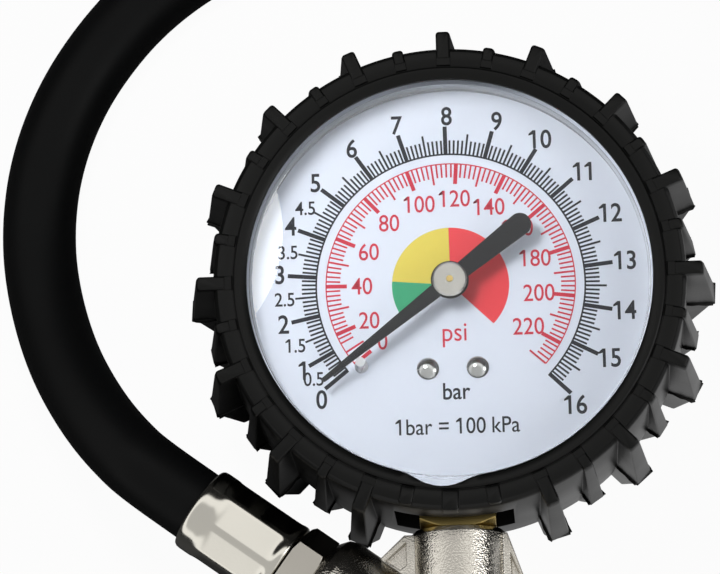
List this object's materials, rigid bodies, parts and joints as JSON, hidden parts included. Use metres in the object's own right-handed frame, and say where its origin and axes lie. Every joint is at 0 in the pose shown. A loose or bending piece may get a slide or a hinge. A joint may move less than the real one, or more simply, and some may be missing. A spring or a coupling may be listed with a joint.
{
  "type": "tyre inflator with gauge",
  "caption": "Pistol tyre inflator with a dial gauge in a tread-pattern rubber boot, a trigger valve, a bleed button and a short rubber hose that ends in a clip-on tyre chuck.",
  "frame": {"origin": "centre of the flat back of the gauge's rubber boot, which is the face that it lies on", "axes": "+Z is out of the dial towards the reader; +Y runs from the gauge's neck to the top of the dial; +X is to the reader's right"},
  "size_m": [0.1875, 0.2981, 0.0386],
  "materials": {
    "boot": "moulded matt black rubber",
    "case_steel": "zinc-plated sheet steel",
    "lens": "clear polished window",
    "seal_rubber": "soft black rubber",
    "dial_face": "white enamel with printed scales",
    "screw_steel": "polished plated steel",
    "clear_plastic": "translucent plastic",
    "pointer_black": "black paint",
    "nickel_trim": "turned and nickel-plated",
    "movement_brass": "machined brass",
    "bronze": "drawn bronze tube",
    "socket_brass": "milled brass with a turned chamfer",
    "plain_steel": "plain machined steel",
    "spring_steel": "spring wire",
    "fibre": "pressed fibre washer",
    "nickel_casting": "nickel-plated die casting, satin",
    "nickel_fittings": "turned and nickel-plated",
    "ferrule_steel": "bright nickel-plated, crimped",
    "hose_rubber": "smooth black rubber"
  },
  "bodies": {
    "inflator": {"boot": "boot", "case": "case_steel", "lens": "lens", "lens_gasket": "seal_rubber", "dial": "dial_face", "dial_screws": "screw_steel", "stop_pin": "clear_plastic", "socket_block": "socket_brass", "movement_back_plate": "movement_brass", "movement_front_plate": "movement_brass", "movement_pillars": "movement_brass", "movement_screws": "plain_steel", "hairspring": "spring_steel", "gauge_seal": "fibre", "body_casting": "nickel_casting", "valve_gland": "movement_brass", "gland_o_ring": "seal_rubber", "valve_spring": "spring_steel", "valve_plug": "movement_brass", "plug_o_ring": "seal_rubber", "bleed_sleeve": "movement_brass", "bleed_spring": "spring_steel", "trigger_pin": "plain_steel", "trigger_pin_clips": "spring_steel", "inlet_nipple": "nickel_fittings", "inlet_seal": "seal_rubber", "hose_fitting": "nickel_fittings", "gun_ferrule": "ferrule_steel", "hose": "hose_rubber", "chuck_ferrule": "ferrule_steel", "chuck_fitting": "nickel_fittings", "chuck_body": "nickel_fittings", "chuck_seal": "seal_rubber", "chuck_depressor": "movement_brass", "clip_pin": "plain_steel", "clip_spring": "spring_steel"},
    "pointer": {"pointer": "pointer_black", "pointer_cap": "nickel_trim", "pinion_shaft": "movement_brass"},
    "sector": {"sector_gear": "movement_brass"},
    "tube": {"bourdon_tube": "bronze", "tube_tip": "movement_brass"},
    "link": {"gauge_link": "movement_brass"},
    "trigger": {"trigger": "nickel_casting"},
    "valve": {"valve_stem": "movement_brass", "poppet_seal": "seal_rubber"},
    "bleed": {"bleed_button": "nickel_trim"},
    "clip": {"clip_lever": "ferrule_steel"}
  },
  "joints": [
    {"name": "pointer_turn", "type": "hinge", "parent": "inflator", "child": "pointer", "pos_m": [0, 0, 0.03], "axis": [0, 0, -1], "range_deg": [0, 261.3], "stiffness_Nm_per_rad": 0.0002},
    {"name": "sector_turn", "type": "hinge", "parent": "inflator", "child": "sector", "pos_m": [0.01508, -0.00549, 0.02], "axis": [0, 0, 1], "range_deg": [0, 29.3]},
    {"name": "tube_flex", "type": "hinge", "parent": "inflator", "child": "tube", "pos_m": [-0.00974, -0.02411, 0.02], "axis": [0, 0, 1], "range_deg": [0, 6.3]},
    {"name": "link_turn", "type": "hinge", "parent": "tube", "child": "link", "pos_m": [0.02545, 0.00358, 0.02], "axis": [0, 0, 1], "range_deg": [0, 13.3]},
    {"name": "trigger_squeeze", "type": "hinge", "parent": "inflator", "child": "trigger", "pos_m": [-0.01998, -0.08177, 0.02], "axis": [0, 0, 1], "range_deg": [0, 10], "stiffness_Nm_per_rad": 1.2, "springref_deg": -14.32},
    {"name": "valve_lift", "type": "slide", "parent": "inflator", "child": "valve", "axis": [0.9511, 0.309, 0], "range_m": [0, 0.004], "deforming": ["valve_spring"]},
    {"name": "bleed_press", "type": "slide", "parent": "inflator", "child": "bleed", "axis": [-0.9511, -0.309, 0], "range_m": [0, 0.0022], "stiffness_N_per_m": 800, "springref_m": -0.002, "deforming": ["bleed_spring"]},
    {"name": "clip_squeeze", "type": "hinge", "parent": "inflator", "child": "clip", "pos_m": [0.0959, -0.1477, 0.0084], "axis": [0, 0, 1], "range_deg": [0, 10], "stiffness_Nm_per_rad": 0.2, "springref_deg": -11.46, "deforming": ["clip_spring"]}
  ],
  "couplings": [
    {"joint": "sector_turn", "follows": "pointer_turn", "ratio": 0.11111},
    {"joint": "tube_flex", "follows": "pointer_turn", "ratio": 0.023865},
    {"joint": "link_turn", "follows": "pointer_turn", "ratio": 0.050135},
    {"joint": "valve_lift", "follows": "trigger_squeeze", "m_per_rad": 0.0226}
  ]
}
